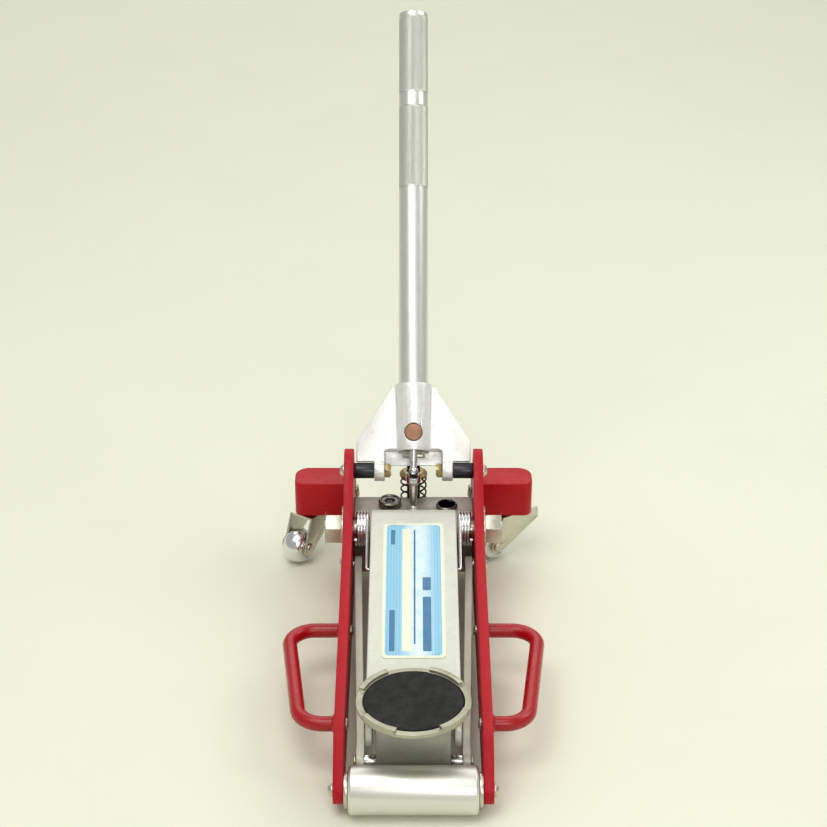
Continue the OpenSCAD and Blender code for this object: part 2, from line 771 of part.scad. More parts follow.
module pump_cam_roller() color(STEEL) yoke_frame()
    bar_x(-cam_half, cam_half, cam_at, cam_r);

module handle_tube() color(SILVER) yoke_frame() rotate_extrude() polygon([
    [tube_bore_r, tube_foot], [handle_radius, tube_foot], [handle_radius, handle_length - 1],
    [handle_radius - 1, handle_length], [0, handle_length], [0, handle_length - 4],
    [tube_bore_r, handle_length - 4]
]);

// Plug in the tube's foot, with the ball of the universal joint below it
module handle_drive_plug() color(CHROME) yoke_frame() union() {
    translate([0, 0, tube_foot + 2]) cylinder(h = 20, r = tube_bore_r - 0.06);
    translate([0, 0, 8]) cylinder(h = tube_foot - 5, r = 3.8);
    translate([0, 0, 0.5]) cylinder(h = 8, r = 3);
    sphere(r = 4.2);
}

// --------------------------------------------------------------- casters

// Places children at a swivel axis with -Y as the trailing direction
module caster_frame(side) {
    translate([side * swivel_x, swivel_y, 0]) rotate([0, 0, side < 0 ? -left_trail : -right_trail]) children();
}

module caster_fork() color(STEEL) difference() {
    reach = caster_trail - 5;
    union() {
        translate([-fork_out, -reach, fork_top - 2.6]) cube([2 * fork_out, reach + 8, 2.6]);
        both_sides() across(fork_in, fork_out) union() {
            translate([-caster_trail, caster_radius]) circle(7.5);
            polygon([
                [-caster_trail - 7.4, caster_radius + 1], [-reach, fork_top], [fork_tail, fork_top],
                [fork_tail, fork_top - 11], [-caster_trail + 4, caster_radius - 6.3],
                [-caster_trail, caster_radius]
            ]);
        }
        // swivel pin with its bearing disc
        translate([0, 0, fork_top - 5.6]) cylinder(h = 4, r = 8);
        translate([0, 0, fork_top - 3]) cylinder(h = 24, r = swivel_r);
        translate([0, 0, fork_top - 0.01]) cylinder(h = 2.7, r = 12);
    }
    bar_x(-30, 30, [-caster_trail, caster_radius], caster_axle_r + 0.03);
}

module axle_end(r, h) rotate([0, 90, 0]) rotate_extrude()
    polygon([[0, -0.01], [r, 0], [r, h * 0.6], [r * 0.75, h], [0, h]]);

// Axle with a wide head on one side and a nut on the other
module caster_axle() color(CHROME) {
    bar_x(-fork_out, fork_out, [-caster_trail, caster_radius], caster_axle_r);
    translate([-fork_out, -caster_trail, caster_radius]) mirror([1, 0, 0]) axle_end(7.5, 3.2);
    translate([fork_out, -caster_trail, caster_radius]) axle_end(5.8, 2.6);
    both_sides() washer_x(caster_half + 0.3, fork_in, [-caster_trail, caster_radius], 8.5, caster_axle_r);
}

module caster_wheel() color(CHROME)
    translate([0, -caster_trail, caster_radius]) rotate([0, 90, 0]) rotate_extrude() difference() {
        crown = 14;
        intersection() {
            translate([caster_radius - crown, 0]) circle(crown);
            translate([caster_axle_r + 0.05, -caster_half]) square([30, 2 * caster_half]);
        }
        for (s = [-1, 1]) translate([10.5, s * caster_half]) circle(1.6);
    }

module caster_fork_left() caster_frame(-1) caster_fork();
module caster_fork_right() caster_frame(1) caster_fork();
module caster_axle_left() caster_frame(-1) caster_axle();
module caster_axle_right() caster_frame(1) caster_axle();
module caster_wheel_left() caster_frame(-1) caster_wheel();
module caster_wheel_right() caster_frame(1) caster_wheel();

// ---------------------------------------------------------------- output

side_plate_left();
side_plate_right();
front_axle();
front_axle_screws();
roller_washers();
front_roller();
main_shaft();
main_shaft_washers();
main_shaft_nuts();
link_pivot_bolts();
power_unit_block();
frame_bolts();
ram_cylinder();
oil_reservoir();
filler_plug();
relief_plug();
pump_barrel();
pump_spring();
pump_piston();
spring_retainer();
release_valve_gland();
release_shaft();
rear_tie_bar();
caster_block_left();
caster_block_right();
caster_block_screws();
carry_handle_left();
carry_handle_right();
carry_handle_screws();
yoke_pivot_bolts();
yoke_bushings();
yoke_pivot_nuts();
lift_arm();
nameplate();
horn_pins();
arm_front_pin();
return_springs();
saddle_bracket();
bracket_link_pin();
link_pin_spacers();
saddle_cup();
saddle_pad();
saddle_retaining_ring();
radius_link_left();
radius_link_right();
ram_rod();
ram_crosshead();
ram_straps();
handle_yoke();
socket_plug();
pump_cam_roller();
handle_tube();
handle_drive_plug();
caster_fork_left();
caster_axle_left();
caster_wheel_left();
caster_fork_right();
caster_axle_right();
caster_wheel_right();
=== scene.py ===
"""Looks for a hydraulic floor jack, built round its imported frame, in metres.

Each sub-assembly is a class that makes its own meshes, dresses them in its finishes
and says which body they move with. The front roller faces -Y and +Z is up.
"""

import json
import logging
import math
from dataclasses import dataclass, field
from enum import Enum
from typing import Iterable, Sequence

import bmesh
import bpy
from mathutils import Matrix, Vector


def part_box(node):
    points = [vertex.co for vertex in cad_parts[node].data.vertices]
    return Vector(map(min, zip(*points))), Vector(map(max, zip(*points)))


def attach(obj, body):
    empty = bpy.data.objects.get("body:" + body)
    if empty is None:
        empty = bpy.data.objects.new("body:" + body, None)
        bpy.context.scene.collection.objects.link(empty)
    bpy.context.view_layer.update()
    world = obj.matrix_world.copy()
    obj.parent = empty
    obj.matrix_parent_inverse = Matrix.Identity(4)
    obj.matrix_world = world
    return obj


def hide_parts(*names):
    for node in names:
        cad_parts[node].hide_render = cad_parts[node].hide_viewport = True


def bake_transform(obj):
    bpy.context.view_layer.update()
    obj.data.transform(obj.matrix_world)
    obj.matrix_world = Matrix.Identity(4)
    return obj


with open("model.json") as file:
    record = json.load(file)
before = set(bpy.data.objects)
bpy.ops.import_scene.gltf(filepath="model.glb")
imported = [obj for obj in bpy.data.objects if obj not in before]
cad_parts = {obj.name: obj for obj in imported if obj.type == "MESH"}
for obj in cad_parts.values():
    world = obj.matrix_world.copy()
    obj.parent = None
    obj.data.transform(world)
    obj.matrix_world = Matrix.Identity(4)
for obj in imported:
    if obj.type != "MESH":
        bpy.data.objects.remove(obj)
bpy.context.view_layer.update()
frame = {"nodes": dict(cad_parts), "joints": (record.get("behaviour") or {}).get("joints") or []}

LOG = logging.getLogger("floor_jack")
MM = 0.001
SHARP_ANGLE = math.radians(38)
WORN_EDGE = 0.7 * MM
CHIPS_PER_METRE = 420.0
FLAKES_PER_METRE = 2600.0


class Axis(Enum):
    """The three axes of the jack's frame."""

    X = 0
    Y = 1
    Z = 2


# --------------------------------------------------------------- finishes


class Graph:
    """A material's node tree, with short names for the nodes that finishes share."""

    def __init__(self, name: str) -> None:
        """Starts an empty material with one principled shader."""
        self.material = bpy.data.materials.new(name)
        self.material.use_nodes = True
        self.tree = self.material.node_tree
        self.tree.nodes.clear()
        self.shader = self.tree.nodes.new("ShaderNodeBsdfPrincipled")
        output = self.tree.nodes.new("ShaderNodeOutputMaterial")
        self.tree.links.new(self.shader.outputs[0], output.inputs[0])
        self.place = self.tree.nodes.new("ShaderNodeTexCoord").outputs["Object"]

    def node(self, kind: str, **settings: object) -> bpy.types.Node:
        """Adds a node and sets its properties.

        Args:
            kind: the node's class name.
            settings: properties of the node and their values.

        Returns:
            The new node.
        """
        made = self.tree.nodes.new(kind)
        for key, value in settings.items():
            setattr(made, key, value)
        return made

    def feed(self, socket: bpy.types.NodeSocket, value: object) -> None:
        """Links a socket to another, or sets its constant."""
        if isinstance(value, bpy.types.NodeSocket):
            self.tree.links.new(value, socket)
        else:
            socket.default_value = value

    def math(self, operation: str, a: object, b: object = 0.0, clamp: bool = False) -> bpy.types.NodeSocket:
        """One arithmetic step on sockets or numbers."""
        made = self.node("ShaderNodeMath", operation=operation, use_clamp=clamp)
        self.feed(made.inputs[0], a)
        self.feed(made.inputs[1], b)
        return made.outputs[0]

    def stretched(self, stretch: Sequence[float], turn: float = 0.0) -> bpy.types.NodeSocket:
        """Object coordinates scaled by stretch, turned about X first."""
        mapping = self.node("ShaderNodeMapping")
        self.feed(mapping.inputs["Vector"], self.place)
        mapping.inputs["Scale"].default_value = tuple(stretch)
        mapping.inputs["Rotation"].default_value = (turn, 0.0, 0.0)
        return mapping.outputs[0]

    def noise(
        self, scale: float, detail: float = 3.0, stretch: Sequence[float] = (1, 1, 1), turn: float = 0.0
    ) -> bpy.types.NodeSocket:
        """Fractal noise from 0 to 1 over the object.

        Args:
            scale: cells per metre before stretching.
            detail: octaves of finer noise.
            stretch: how the cells are squeezed along each axis.
            turn: angle about X before squeezing, in radians.

        Returns:
            The noise value's socket.
        """
        made = self.node("ShaderNodeTexNoise")
        self.feed(made.inputs["Vector"], self.stretched(stretch, turn))
        made.inputs["Scale"].default_value = scale
        made.inputs["Detail"].default_value = detail
        return made.outputs["Fac"]

    def span(self, value: object, low: float, high: float, to_low: float = 0.0, to_high: float = 1.0):
        """Maps low..high to to_low..to_high with a smooth step, clamped."""
        made = self.node("ShaderNodeMapRange", interpolation_type="SMOOTHSTEP")
        for name, number in zip(("Value", "From Min", "From Max", "To Min", "To Max"),
                                (value, low, high, to_low, to_high)):
            self.feed(made.inputs[name], number)
        return made.outputs[0]

    def mix(self, amount: object, a: object, b: object, blend: str = "MIX") -> bpy.types.NodeSocket:
        """Blends two colours by an amount from 0 to 1."""
        made = self.node("ShaderNodeMix", data_type="RGBA", blend_type=blend)
        self.feed(made.inputs[0], amount)
        self.feed(made.inputs[6], opaque(a))
        self.feed(made.inputs[7], opaque(b))
        return made.outputs[2]

    def bump(self, height: object, depth: float, strength: float = 1.0, under: object = None):
        """A bump from a height in 0..1 that stands depth metres tall."""
        made = self.node("ShaderNodeBump")
        made.inputs["Strength"].default_value = strength
        made.inputs["Distance"].default_value = depth
        self.feed(made.inputs["Height"], height)
        if under is not None:
            self.feed(made.inputs["Normal"], under)
        return made.outputs[0]

    def edges(self, radius: float) -> bpy.types.NodeSocket:
        """1 on the crests of edges and corners, 0 on flats."""
        bevel = self.node("ShaderNodeBevel", samples=4)
        bevel.inputs["Radius"].default_value = radius
        normal = self.node("ShaderNodeNewGeometry").outputs["Normal"]
        dot = self.node("ShaderNodeVectorMath", operation="DOT_PRODUCT")
        self.feed(dot.inputs[0], bevel.outputs[0])
        self.feed(dot.inputs[1], normal)
        return self.span(dot.outputs["Value"], 0.90, 0.995, 1.0, 0.0)


def opaque(value: object) -> object:
    """A colour of three numbers with its alpha added; anything else as it is."""
    if isinstance(value, tuple) and len(value) == 3:
        return (*value, 1.0)
    return value


@dataclass(frozen=True)
class Finish:
    """A surface with grain, mottling, smudges and worn edges.

    The numbers that end in scale are cells per metre, depths are in metres.
    """

    name: str
    colour: tuple[float, float, float]
    roughness: float = 0.35
    metallic: float = 0.0
    specular: float = 0.5
    coat: float = 0.0
    coat_roughness: float = 0.12
    grain_scale: float = 900.0
    grain_depth: float = 0.00004
    stretch: tuple[float, float, float] = (1.0, 1.0, 1.0)
    mottle: float = 0.08
    mottle_scale: float = 60.0
    smudge: float = 0.10
    wear: float = 0.0
    wear_colour: tuple[float, float, float] = (0.75, 0.74, 0.70)
    grime: float = 0.0
    grime_colour: tuple[float, float, float] = (0.05, 0.04, 0.03)
    turn: float = 0.0

    def build(self) -> bpy.types.Material:
        """Makes the material once and hands the same one out after that."""
        known = bpy.data.materials.get(self.name)
        return known or self.make()

    def make(self) -> bpy.types.Material:
        """Builds the node tree.

        Returns:
            The finished material.
        """
        g = Graph(self.name)
        colour = self.base_colour(g)
        cloud = g.noise(self.mottle_scale, 4.0)
        shade = tuple(max(0.0, c * (1.0 - 2.2 * self.mottle)) for c in self.colour)
        colour = g.mix(g.span(cloud, 0.35, 0.75, 0.0, 0.8), colour, g.mix(0.5, colour, shade, "MIX"))
        if self.grime:
            dirt = g.noise(self.mottle_scale * 3.1, 6.0)
            colour = g.mix(g.span(dirt, 0.52, 0.80, 0.0, self.grime), colour, self.grime_colour)
        rough = g.span(g.noise(self.mottle_scale * 2.3, 5.0), 0.25, 0.75,
                       max(0.03, self.roughness - self.smudge), self.roughness + self.smudge)
        if self.wear:
            chips = g.span(g.noise(CHIPS_PER_METRE, 4.0), 0.42, 0.60)
            worn = g.math("MULTIPLY", g.math("MULTIPLY", g.edges(WORN_EDGE), chips), self.wear, True)
            colour = g.mix(worn, colour, self.wear_colour)
        g.feed(g.shader.inputs["Base Color"], colour)
        g.feed(g.shader.inputs["Roughness"], rough)
        g.shader.inputs["Metallic"].default_value = self.metallic
        g.shader.inputs["Specular IOR Level"].default_value = self.specular
        g.shader.inputs["Coat Weight"].default_value = self.coat
        g.shader.inputs["Coat Roughness"].default_value = self.coat_roughness
        g.feed(g.shader.inputs["Normal"], self.relief(g))
        return g.material

    def base_colour(self, g: Graph) -> object:
        """The colour before mottling, grime and wear."""
        return opaque(self.colour)

    def relief(self, g: Graph) -> bpy.types.NodeSocket:
        """The grain of the surface as a bump."""
        return g.bump(g.noise(self.grain_scale, 3.0, self.stretch, self.turn), self.grain_depth)


@dataclass(frozen=True)
class Turned(Finish):
    """Metal turned on a lathe: fine rings round one axis, of uneven depth."""

    axis: Axis = Axis.X
    ring_scale: float = 1500.0

    def relief(self, g: Graph) -> bpy.types.NodeSocket:
        """Tool rings across the axis, in place of the grain."""
        squeeze = [0.02, 0.02, 0.02]
        squeeze[self.axis.value] = 1.0
        rings = g.noise(self.ring_scale, 2.0, squeeze)
        return g.bump(rings, self.grain_depth)


@dataclass(frozen=True)
class Flaked(Finish):
    """Silver paint: a light base with fine bright flakes in it."""

    flake: float = 0.25

    def base_colour(self, g: Graph) -> bpy.types.NodeSocket:
        """The paint with its flakes."""
        cells = g.node("ShaderNodeTexVoronoi", feature="F1")
        g.feed(cells.inputs["Vector"], g.place)
        cells.inputs["Scale"].default_value = FLAKES_PER_METRE
        sparkle = g.node("ShaderNodeSeparateColor")
        g.feed(sparkle.inputs[0], cells.outputs["Color"])
        bright = tuple(min(1.0, c * 1.22) for c in self.colour)
        dark = tuple(c * (1.0 - self.flake) for c in self.colour)
        return g.mix(sparkle.outputs[0], dark, bright)


@dataclass(frozen=True)
class StripedFoil(Finish):
    """Printed foil with fine lengthwise lines that fade towards the middle."""

    pale: tuple[float, float, float] = (0.70, 0.84, 0.88)
    line_scale: float = 760.0

    def base_colour(self, g: Graph) -> bpy.types.NodeSocket:
        """Fine lines along the foil, over a wash that is palest at the centre."""
        parts = g.node("ShaderNodeSeparateXYZ")
        g.feed(parts.inputs[0], g.place)
        wave = g.math("SINE", g.math("MULTIPLY", parts.outputs["X"], self.line_scale * math.tau * 0.5))
        lines = g.span(wave, -0.2, 0.9, 0.0, 0.55)
        off_centre = g.math("ABSOLUTE", g.math("SUBTRACT", parts.outputs["X"], 0.004))
        wash = g.span(off_centre, 0.002, 0.018, 0.0, 1.0)
        deep = tuple(c * 0.62 for c in self.colour)
        inked = g.mix(lines, self.colour, deep)
        return g.mix(wash, self.pale, inked)


@dataclass(frozen=True)
class Paintwork:
    """Every finish of the jack."""

    red_plate: Finish = Finish(
        "red_satin_plate", (0.43, 0.004, 0.012), 0.44, specular=0.22,
        grain_scale=1500, grain_depth=0.00001, mottle=0.06, wear=0.7, wear_colour=(0.66, 0.20, 0.18))
    red_block: Finish = Finish(
        "red_gloss_block", (0.44, 0.003, 0.008), 0.36, specular=0.25,
        grain_scale=500, grain_depth=0.000012, mottle=0.05, wear=0.4, wear_colour=(0.60, 0.14, 0.12))
    red_bar: Finish = Finish(
        "red_gloss_bar", (0.38, 0.004, 0.010), 0.27, specular=0.45,
        grain_scale=420, grain_depth=0.00001, mottle=0.05)
    arm: Finish = Flaked(
        "silver_arm_paint", (0.60, 0.61, 0.53), 0.38, 0.30, specular=0.4,
        grain_scale=700, grain_depth=0.000008, mottle=0.03, wear=0.3, flake=0.06)
    yoke: Finish = Flaked(
        "silver_yoke_casting", (0.80, 0.805, 0.78), 0.36, 0.45, specular=0.4,
        grain_scale=420, grain_depth=0.000015, mottle=0.03, wear=0.3, flake=0.05)
    cast: Finish = Finish(
        "cast_body_paint", (0.36, 0.335, 0.27), 0.46, 0.30,
        grain_scale=330, grain_depth=0.00008, mottle=0.14, wear=0.6, grime=0.22)
    bracket: Finish = Finish(
        "cast_bracket_paint", (0.36, 0.365, 0.31), 0.42, 0.45,
        grain_scale=420, grain_depth=0.00005, mottle=0.07, wear=0.5, grime=0.10)
    link: Finish = Finish(
        "plated_link_bar", (0.78, 0.785, 0.66), 0.45, 0.2,
        grain_scale=900, grain_depth=0.000006, stretch=(1, 0.06, 1), mottle=0.04, wear=0.2)
    zinc: Finish = Finish(
        "bright_zinc", (0.62, 0.60, 0.50), 0.32, 1.0,
        grain_scale=700, grain_depth=0.000005, mottle=0.05, smudge=0.06)
    chrome: Finish = Finish(
        "polished_chrome", (0.80, 0.81, 0.81), 0.20, 1.0,
        grain_scale=260, grain_depth=0.000002, mottle=0.02, smudge=0.04)
    handle: Finish = Finish(
        "brushed_handle_tube", (0.80, 0.81, 0.76), 0.34, 0.9,
        grain_scale=1600, grain_depth=0.000003, stretch=(1, 1, 0.02), mottle=0.01, smudge=0.03)
    knurl: Finish = Finish(
        "knurled_handle_grip", (0.66, 0.67, 0.62), 0.40, 0.9,
        grain_scale=1200, grain_depth=0.000003, mottle=0.02, smudge=0.03, grime=0.05)
    roller: Finish = Turned(
        "turned_roller", (0.78, 0.78, 0.72), 0.38, 0.9,
        grain_depth=0.000004, mottle=0.01, smudge=0.03, wear=0.3, axis=Axis.X)
    saddle: Finish = Finish(
        "worn_saddle_steel", (0.47, 0.46, 0.35), 0.40, 0.75,
        grain_scale=500, grain_depth=0.00008, mottle=0.16, wear=0.6, grime=0.25)
    rubber: Finish = Finish(
        "black_saddle_rubber", (0.009, 0.0085, 0.008), 0.66, 0.0, specular=0.3,
        grain_scale=800, grain_depth=0.00006, mottle=0.2, smudge=0.12, grime=0.25,
        grime_colour=(0.022, 0.022, 0.018))
    dark: Finish = Finish(
        "oiled_black_steel", (0.035, 0.030, 0.028), 0.28, 0.85,
        grain_scale=700, grain_depth=0.00003, mottle=0.25, wear=0.6, wear_colour=(0.30, 0.27, 0.23))
    plug: Finish = Turned(
        "machined_plug_steel", (0.20, 0.185, 0.16), 0.30, 0.95,
        grain_depth=0.00003, mottle=0.2, wear=0.8, wear_colour=(0.55, 0.52, 0.46), axis=Axis.Z)
    brass: Finish = Finish(
        "tarnished_brass", (0.42, 0.31, 0.13), 0.34, 0.95,
        grain_scale=600, grain_depth=0.00004, mottle=0.25, grime=0.3)
    copper: Finish = Finish(
        "dull_copper", (0.36, 0.19, 0.115), 0.45, 0.75,
        grain_scale=900, grain_depth=0.00003, mottle=0.2, grime=0.25)
    bushing: Finish = Finish(
        "black_bushing", (0.010, 0.011, 0.020), 0.35, 0.0, coat=0.2,
        grain_scale=900, grain_depth=0.00004, mottle=0.3)
    foil: Finish = Finish(
        "cream_foil_border", (0.80, 0.82, 0.64), 0.30, 0.0, coat=0.5,
        grain_scale=300, grain_depth=0.00001, mottle=0.04)
    stripes: Finish = StripedFoil(
        "blue_striped_foil", (0.23, 0.56, 0.78), 0.30, 0.0, coat=0.5,
        grain_scale=300, grain_depth=0.00001, mottle=0.03)
    ink: Finish = Finish(
        "dark_blue_ink", (0.010, 0.16, 0.33), 0.34, 0.0, coat=0.4,
        grain_scale=600, grain_depth=0.00001, mottle=0.15)
    floor: Finish = Finish(
        "pale_floor_cloth", (0.785, 0.805, 0.660), 0.85, 0.0,
        grain_scale=900, grain_depth=0.00005, mottle=0.02, mottle_scale=5, smudge=0.05)


PAINT = Paintwork()


# ----------------------------------------------------------- mesh helpers


def new_piece(name: str, points: Iterable, faces: Iterable, finish: Finish,
              place: Matrix = Matrix.Identity(4), smooth: bool = True) -> bpy.types.Object:
    """Makes an object from points and faces, with outward normals.

    Args:
        name: the piece's name.
        points: corner positions in the piece's own frame.
        faces: corner numbers of each face.
        finish: the piece's finish.
        place: where the piece's frame is.
        smooth: whether the faces are shaded smooth.

    Returns:
        The linked object.
    """
    mesh = bpy.data.meshes.new(name)
    mesh.from_pydata([tuple(p) for p in points], [], [tuple(f) for f in faces])
    work = bmesh.new()
    work.from_mesh(mesh)
    bmesh.ops.recalc_face_normals(work, faces=work.faces)
    work.to_mesh(mesh)
    work.free()
    if smooth:
        mesh.shade_smooth()
        mesh.set_sharp_from_angle(angle=SHARP_ANGLE)
    piece = bpy.data.objects.new(name, mesh)
    piece.matrix_world = place
    bpy.context.scene.collection.objects.link(piece)
    mesh.materials.append(finish.build())
    return piece


def ring_faces(rings: int, sides: int, closed: bool = False) -> list[tuple[int, ...]]:
    """Quads between rings of points, and end caps unless the rings close on themselves."""
    faces = []
    for i in range(rings if closed else rings - 1):
        j = (i + 1) % rings
        for k in range(sides):
            m = (k + 1) % sides
            faces.append((i * sides + k, i * sides + m, j * sides + m, j * sides + k))
    if not closed:
        faces.append(tuple(range(sides)))
        faces.append(tuple((rings - 1) * sides + k for k in reversed(range(sides))))
    return faces


def lathe(name: str, outline: Sequence[tuple[float, float]], finish: Finish, place: Matrix,
          sides: int = 96, closed: bool = True) -> bpy.types.Object:
    """Turns an outline of (radius, height) points round the piece's Z axis.

    Args:
        name: the piece's name.
        outline: points in order along the section.
        finish: the piece's finish.
        place: the axis, as the piece's frame.
        sides: points round the axis.
        closed: True for a ring-shaped section, False for one capped at both ends.

    Returns:
        The linked object.
    """
    points = [
        (r * math.cos(math.tau * k / sides), r * math.sin(math.tau * k / sides), z)
        for r, z in outline
        for k in range(sides)
    ]
    return new_piece(name, points, ring_faces(len(outline), sides, closed), finish, place)


def tube(name: str, path: Sequence[Vector], radius: float, finish: Finish,
         sides: int = 20) -> bpy.types.Object:
    """Sweeps a round section along a path, with a flat cap at each end and no twist."""
    rings: list[Vector] = []
    side = None
    count = len(path)
    for i, here in enumerate(path):
        along = (path[min(i + 1, count - 1)] - path[max(i - 1, 0)]).normalized()
        if side is None:
            side = along.orthogonal().normalized()
        side = (side - along * side.dot(along)).normalized()
        up = along.cross(side)
        rings += [
            here + radius * (math.cos(math.tau * k / sides) * side + math.sin(math.tau * k / sides) * up)
            for k in range(sides)
        ]
    return new_piece(name, rings, ring_faces(count, sides), finish)


def softened(node: str, width: float, finish: Finish, name: str | None = None,
             angle: float = 32.0, segments: int = 3) -> bpy.types.Object:
    """Copies a CAD node's shape with its edges rounded off.

    Args:
        node: the CAD node.
        width: how far the rounding reaches from each edge, in metres.
        finish: the piece's finish.
        name: the new piece's name, the node's with a suffix if not given.
        angle: the smallest edge angle that is rounded, in degrees.
        segments: steps across the rounding.

    Returns:
        The new object, which still has to ride on a body.
    """
    mesh = bpy.data.meshes.new((name or node) + "_mesh")
    work = bmesh.new()
    work.from_mesh(frame["nodes"][node].data)
    bmesh.ops.remove_doubles(work, verts=work.verts, dist=0.000002)
    bmesh.ops.dissolve_limit(work, angle_limit=math.radians(0.8), verts=work.verts, edges=work.edges)
    bmesh.ops.recalc_face_normals(work, faces=work.faces)
    work.to_mesh(mesh)
    work.free()
    mesh.shade_smooth()
    piece = bpy.data.objects.new(name or node + "_finished", mesh)
    bpy.context.scene.collection.objects.link(piece)
    bevel = piece.modifiers.new("edge", "BEVEL")
    bevel.width = width
    bevel.segments = segments
    bevel.limit_method = "ANGLE"
    bevel.angle_limit = math.radians(angle)
    bevel.use_clamp_overlap = False
    bevel.harden_normals = True
    bpy.context.view_layer.update()
    shaped = bpy.data.meshes.new_from_object(piece.evaluated_get(bpy.context.evaluated_depsgraph_get()))
    piece.modifiers.clear()
    piece.data = shaped
    shaped.materials.clear()
    shaped.materials.append(finish.build())
    return piece


def settle(piece: bpy.types.Object, body: str, slot: str, *nodes: str) -> bpy.types.Object:
    """Puts a piece on a body, hides the CAD nodes it stands for, and logs it."""
    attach(piece, body)
    if nodes:
        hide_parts(*nodes)
    LOG.info("piece %s on %s, %d faces", piece.name, body, len(piece.data.polygons))
    return piece


def joint(name: str) -> dict:
    """A joint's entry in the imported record."""
    return next(j for j in frame["joints"] if j["name"] == name)


def axis_frame(origin: Vector, direction: Vector) -> Matrix:
    """A frame at origin whose Z runs along direction."""
    return Matrix.Translation(origin) @ direction.to_track_quat("Z", "Y").to_matrix().to_4x4()


@dataclass(frozen=True)
class Skin:
    """How one CAD node is dressed: its finish, slot and edge rounding."""

    node: str
    body: str
    finish: Finish
    slot: str
    edge: float = 0.4 * MM
    angle: float = 32.0

    def dress(self) -> bpy.types.Object:
        """Makes the rounded piece that stands for the node."""
        piece = softened(self.node, self.edge, self.finish, angle=self.angle)
        return settle(piece, self.body, self.slot, self.node)


class SubAssembly:
    """A group of pieces that are built together."""

    skins: list[Skin] = []

    def build(self) -> None:
        """Dresses each listed node, then adds the pieces that need their own mesh."""
        LOG.info("building %s", type(self).__name__)
        for skin in self.skins:
            skin.dress()
        self.add_pieces()

    def add_pieces(self) -> None:
        """Pieces with meshes of their own; none unless a sub-assembly adds them."""


# ---------------------------------------------------------- sub-assemblies


@dataclass
class SideFrame(SubAssembly):
    """The two side plates and everything bolted between them."""

    skins: list[Skin] = field(default_factory=lambda: [
        Skin("side_plate_left", "frame", PAINT.red_plate, "red_anodised", 0.9 * MM),
        Skin("side_plate_right", "frame", PAINT.red_plate, "red_anodised", 0.9 * MM),
        Skin("frame_bolts", "frame", PAINT.zinc, "zinc", 0.25 * MM),
        Skin("rear_tie_bar", "frame", PAINT.zinc, "zinc", 0.4 * MM),
        Skin("link_pivot_bolts", "frame", PAINT.zinc, "zinc", 0.3 * MM),
        Skin("carry_handle_screws", "frame", PAINT.zinc, "zinc", 0.25 * MM),
    ])


@dataclass
class FrontEnd(SubAssembly):
    """Front axle, its screws, the end washers and the roller."""

    skins: list[Skin] = field(default_factory=lambda: [
        Skin("front_axle", "frame", PAINT.zinc, "zinc", 0.4 * MM),
        Skin("front_axle_screws", "frame", PAINT.zinc, "zinc", 0.3 * MM),
        Skin("roller_washers", "frame", PAINT.zinc, "zinc", 0.4 * MM),
        Skin("front_roller", "roller", PAINT.roller, "roller_aluminium", 0.5 * MM, 20.0),
    ])


@dataclass
class ReturnSpring:
    """One torsion spring: close coils on the shaft and one leg along the arm; the coil's outer end, by the
    plate, has no leg.
    """

    side: int
    coil_radius: float = 15.3 * MM
    wire: float = 1.6 * MM
    turns: float = 3.75
    inner: float = 43.4 * MM
    outer: float = 54.4 * MM
    steps: int = 150
    start: float = math.radians(100)

    def path(self, hub: Vector) -> list[Vector]:
        """Points along the wire.

        Args:
            hub: the shaft's centre.

        Returns:
            The wire's centreline from the arm's end to the plate's.
        """
        leg_end = Vector((self.inner - 2.6 * MM, hub.y - 62 * MM, hub.z - 7 * MM))
        first = self.coil_point(0.0, hub)
        points = [leg_end, leg_end + Vector((1.8 * MM, 0.4 * MM, 0.0)),
                  leg_end + Vector((2.6 * MM, 2.2 * MM, 0.2 * MM))]
        points += [points[2].lerp(first, t / 12) for t in range(1, 12)]
        points += [self.coil_point(i / self.steps, hub) for i in range(self.steps + 1)]
        return [Vector((self.side * p.x, p.y, p.z)) for p in points]

    def coil_point(self, share: float, hub: Vector) -> Vector:
        """The point at a share of the coil's length."""
        angle = self.start - math.tau * self.turns * share
        return Vector((
            self.inner + (self.outer - self.inner) * share,
            hub.y + self.coil_radius * math.cos(angle),
            hub.z + self.coil_radius * math.sin(angle),
        ))


@dataclass
class LiftShaft(SubAssembly):
    """The main shaft with its nuts, washers and return springs."""

    skins: list[Skin] = field(default_factory=lambda: [
        Skin("main_shaft", "frame", PAINT.zinc, "zinc", 1.0 * MM),
        Skin("main_shaft_washers", "frame", PAINT.zinc, "zinc", 0.3 * MM),
        Skin("main_shaft_nuts", "frame", PAINT.zinc, "zinc", 0.35 * MM, 20.0),
    ])

    def add_pieces(self) -> None:
        """The two springs, made of smooth round wire."""
        hub = Vector(joint("arm_lift")["pos_m"])
        for side, label in ((-1, "left"), (1, "right")):
            spring = ReturnSpring(side)
            piece = tube(f"return_spring_{label}", spring.path(hub), spring.wire, PAINT.chrome, 16)
            settle(piece, "arm", "chrome_parts")
        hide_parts("return_springs")


